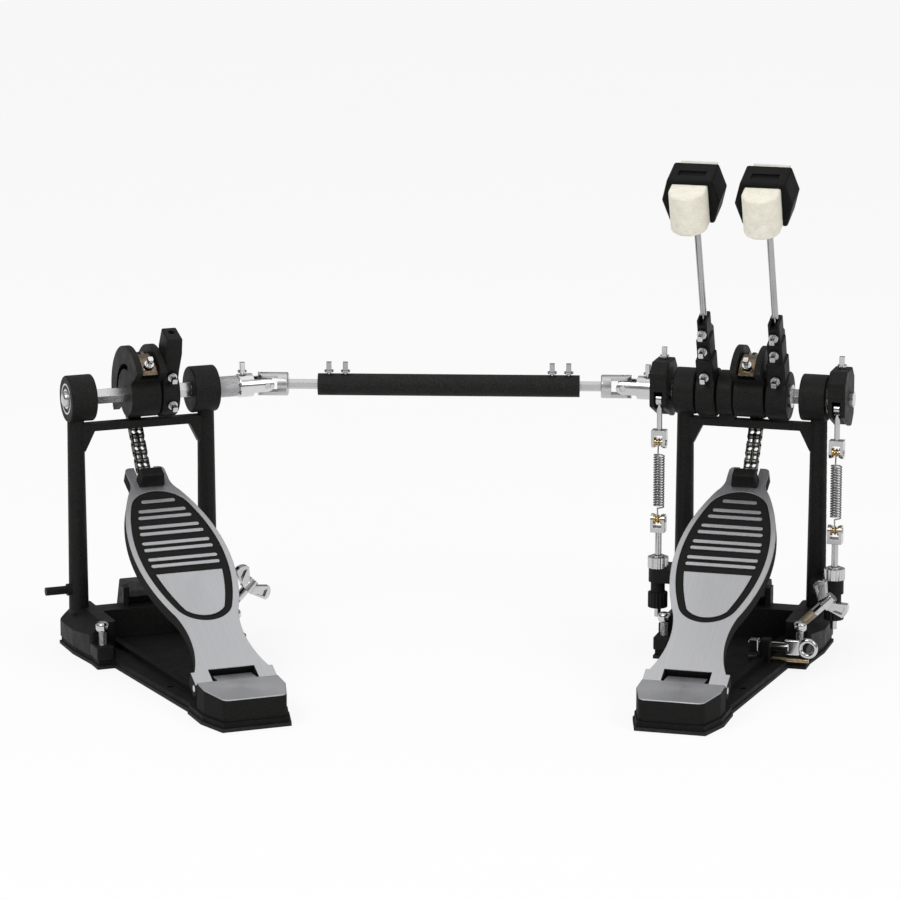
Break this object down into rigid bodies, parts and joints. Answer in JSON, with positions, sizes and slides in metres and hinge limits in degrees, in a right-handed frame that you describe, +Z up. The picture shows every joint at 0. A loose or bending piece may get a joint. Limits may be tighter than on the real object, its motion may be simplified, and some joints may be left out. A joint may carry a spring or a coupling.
{
  "type": "double bass drum pedal",
  "caption": "Chain-driven double bass drum pedal: foot pedals on separate stands, joined by a telescopic drive shaft with universal joints, swing the felt beaters of the right-hand stand.",
  "frame": {"origin": "on the floor, below the middle of the object's bounding box", "axes": "+X from the left pedal to the right one, +Y towards the drum, +Z up"},
  "size_m": [0.7302, 0.3715, 0.4478],
  "materials": {
    "bearing_steel": "ground bearing steel",
    "black_casting": "black powder coat on cast aluminium",
    "black_plastic": "matte black moulded plastic",
    "black_steel": "black powder coat on steel",
    "board_metal": "brushed aluminium with a black inlay",
    "chain_steel": "dark oiled chain steel",
    "chrome": "polished chrome",
    "felt": "pressed cream felt",
    "rubber": "matte black rubber",
    "steel": "bright machined steel"
  },
  "bodies": {
    "right_stand": {"right_sole": "rubber", "right_base_plate": "black_steel", "right_frame": "black_casting", "right_bearings": "bearing_steel", "right_spike_screws": "chrome", "right_heel_block": "board_metal", "right_hinge_pin": "steel", "centre_bearing": "black_casting", "tension_rods": "chrome", "drum_key": "chrome", "left_spring": "chrome", "right_spring": "chrome"},
    "right_board": {"right_footboard": "board_metal", "right_toe_cap": "black_casting"},
    "right_rotor": {"right_axle": "steel", "right_cam": "black_casting", "right_chain_wrap": "chain_steel", "right_beater_hub": "black_casting", "right_spring_arm": "black_casting"},
    "right_chain": {"right_chain_links": "chain_steel"},
    "right_chain_end": {"right_chain_drop": "chain_steel"},
    "right_beater": {"right_beater_rod": "chrome", "right_beater_housing": "black_plastic", "right_beater_felt": "felt"},
    "right_hook": {"right_spring_hook": "chrome"},
    "left_hook": {"left_spring_hook": "chrome"},
    "right_nut": {"right_thumb_nut": "chrome"},
    "left_nut": {"left_thumb_nut": "chrome"},
    "right_bolt": {"right_wing_bolt": "chrome"},
    "right_jaw": {"right_clamp_jaw": "rubber"},
    "slave_rotor": {"slave_shaft": "steel", "left_beater_hub": "black_casting", "left_spring_arm": "black_casting"},
    "left_beater": {"left_beater_rod": "chrome", "left_beater_housing": "black_plastic", "left_beater_felt": "felt"},
    "right_joint": {"right_cross": "steel"},
    "drive_shaft": {"shaft_tube": "black_casting", "tube_screws": "chrome", "right_slide_rod": "steel"},
    "left_rod": {"left_slide_rod": "steel"},
    "left_stand": {"left_sole": "rubber", "left_base_plate": "black_steel", "left_frame": "black_casting", "left_bearings": "bearing_steel", "left_spike_screws": "chrome", "left_heel_block": "board_metal", "left_hinge_pin": "steel"},
    "left_board": {"left_footboard": "board_metal", "left_toe_cap": "black_casting"},
    "left_rotor": {"left_axle": "steel", "left_cam": "black_casting", "left_chain_wrap": "chain_steel", "left_hub": "black_casting", "left_yoke": "steel"},
    "left_chain": {"left_chain_links": "chain_steel"},
    "left_chain_end": {"left_chain_drop": "chain_steel"},
    "left_bolt": {"left_wing_bolt": "chrome"},
    "left_jaw": {"left_clamp_jaw": "rubber"},
    "left_joint": {"left_cross": "steel"}
  },
  "joints": [
    {"name": "right_footboard_press", "type": "hinge", "parent": "right_stand", "child": "right_board", "pos_m": [0.20032, -0.12043, 0.0245], "axis": [-0.9617, 0.274, 0], "range_deg": [0, 6.5], "stiffness_Nm_per_rad": 10, "springref_deg": -34.38},
    {"name": "right_axle_turn", "type": "hinge", "parent": "right_stand", "child": "right_rotor", "pos_m": [0.271, 0.1277, 0.23], "axis": [-0.9617, 0.274, 0], "range_deg": [0, 36.22]},
    {"name": "right_chain_bend", "type": "hinge", "parent": "right_rotor", "child": "right_chain", "pos_m": [0.28004, 0.15943, 0.23821], "axis": [-0.9617, 0.274, 0], "range_deg": [-26.43, 0]},
    {"name": "right_chain_end_bend", "type": "hinge", "parent": "right_chain", "child": "right_chain_end", "pos_m": [0.27933, 0.15695, 0.2148], "axis": [-0.9617, 0.274, 0], "range_deg": [-26.12, 0]},
    {"name": "right_wing_bolt_turn", "type": "hinge", "parent": "right_stand", "child": "right_bolt", "pos_m": [0.31604, 0.05768, 0.0372], "axis": [0.6918, -0.1971, 0.6947], "range_deg": [0, 540]},
    {"name": "right_jaw_clamp", "type": "hinge", "parent": "right_stand", "child": "right_jaw", "pos_m": [0.27155, 0.12962, 0.046], "axis": [-0.9617, 0.274, 0], "range_deg": [0, 8]},
    {"name": "left_footboard_press", "type": "hinge", "parent": "left_stand", "child": "left_board", "pos_m": [-0.18668, -0.10958, 0.0245], "axis": [-0.9317, -0.3633, 0], "range_deg": [0, 6.5], "stiffness_Nm_per_rad": 10, "springref_deg": -34.38},
    {"name": "left_axle_turn", "type": "hinge", "parent": "left_stand", "child": "left_rotor", "pos_m": [-0.2804, 0.1308, 0.23], "axis": [-0.9317, -0.3633, 0], "range_deg": [0, 36.22]},
    {"name": "left_chain_bend", "type": "hinge", "parent": "left_rotor", "child": "left_chain", "pos_m": [-0.29239, 0.16154, 0.23821], "axis": [-0.9317, -0.3633, 0], "range_deg": [-26.43, 0]},
    {"name": "left_chain_end_bend", "type": "hinge", "parent": "left_chain", "child": "left_chain_end", "pos_m": [-0.29145, 0.15913, 0.2148], "axis": [-0.9317, -0.3633, 0], "range_deg": [-26.12, 0]},
    {"name": "left_wing_bolt_turn", "type": "hinge", "parent": "left_stand", "child": "left_bolt", "pos_m": [-0.20219, 0.10226, 0.0372], "axis": [0.6702, 0.2613, 0.6947], "range_deg": [0, 540]},
    {"name": "left_jaw_clamp", "type": "hinge", "parent": "left_stand", "child": "left_jaw", "pos_m": [-0.28113, 0.13266, 0.046], "axis": [-0.9317, -0.3633, 0], "range_deg": [0, 8]},
    {"name": "right_spring_pull", "type": "slide", "parent": "right_stand", "child": "right_hook", "axis": [0, 0, 1], "range_m": [0, 0.01152], "deforming": ["right_spring"]},
    {"name": "right_tension_nut_turn", "type": "hinge", "parent": "right_stand", "child": "right_nut", "pos_m": [0.34452, 0.0883, 0.068], "axis": [0, 0, 1], "continuous": true},
    {"name": "left_spring_pull", "type": "slide", "parent": "right_stand", "child": "left_hook", "axis": [0, 0, 1], "range_m": [0, 0.01202], "deforming": ["left_spring"]},
    {"name": "left_tension_nut_turn", "type": "hinge", "parent": "right_stand", "child": "left_nut", "pos_m": [0.18776, 0.13296, 0.068], "axis": [0, 0, 1], "continuous": true},
    {"name": "right_beater_height", "type": "slide", "parent": "right_rotor", "child": "right_beater", "axis": [-0.0937, -0.3289, 0.9397], "range_m": [-0.02, 0.02]},
    {"name": "slave_shaft_turn", "type": "hinge", "parent": "right_stand", "child": "slave_rotor", "pos_m": [0.271, 0.1277, 0.23], "axis": [-0.9617, 0.274, 0], "range_deg": [0, 37.87]},
    {"name": "left_beater_height", "type": "slide", "parent": "slave_rotor", "child": "left_beater", "axis": [-0.0937, -0.3289, 0.9397], "range_m": [-0.02, 0.02]},
    {"name": "right_cross_tilt", "type": "hinge", "parent": "slave_rotor", "child": "right_joint", "pos_m": [0.15751, 0.16003, 0.23], "axis": [0.274, 0.9617, 0], "range_deg": [-8.4, 0]},
    {"name": "drive_shaft_turn", "type": "hinge", "parent": "right_stand", "child": "drive_shaft", "pos_m": [0.15751, 0.16003, 0.23], "axis": [-0.9991, 0.0415, 0], "range_deg": [0, 38.65]},
    {"name": "pedal_spacing", "type": "slide", "parent": "right_stand", "child": "left_stand", "axis": [-0.9991, 0.0415, 0], "range_m": [0, 0.06]},
    {"name": "left_rod_slide", "type": "slide", "parent": "drive_shaft", "child": "left_rod", "axis": [-0.9991, 0.0415, 0], "range_m": [0, 0.06]},
    {"name": "left_cross_tilt", "type": "hinge", "parent": "left_rotor", "child": "left_joint", "pos_m": [-0.17046, 0.17366, 0.23], "axis": [-0.3633, 0.9317, 0], "range_deg": [0, 14.53]}
  ],
  "couplings": [
    {"joint": "right_axle_turn", "follows": "right_footboard_press", "ratio": 5.5704},
    {"joint": "right_chain_bend", "follows": "right_footboard_press", "ratio": -4.0652},
    {"joint": "right_chain_end_bend", "follows": "right_footboard_press", "ratio": -4.0163},
    {"joint": "right_jaw_clamp", "follows": "right_wing_bolt_turn", "ratio": 0.014815},
    {"joint": "left_axle_turn", "follows": "left_footboard_press", "ratio": 5.5704},
    {"joint": "left_chain_bend", "follows": "left_footboard_press", "ratio": -4.0652},
    {"joint": "left_chain_end_bend", "follows": "left_footboard_press", "ratio": -4.0163},
    {"joint": "left_jaw_clamp", "follows": "left_wing_bolt_turn", "ratio": 0.014815},
    {"joint": "right_spring_pull", "follows": "right_footboard_press", "m_per_rad": 0.10134},
    {"joint": "left_spring_pull", "follows": "left_footboard_press", "m_per_rad": 0.10579},
    {"joint": "slave_shaft_turn", "follows": "left_footboard_press", "ratio": 5.824},
    {"joint": "right_cross_tilt", "follows": "left_footboard_press", "ratio": -1.2913},
    {"joint": "drive_shaft_turn", "follows": "left_footboard_press", "ratio": 5.9444},
    {"joint": "left_rod_slide", "follows": "pedal_spacing", "ratio": 1},
    {"joint": "left_cross_tilt", "follows": "left_footboard_press", "ratio": 2.2345}
  ]
}
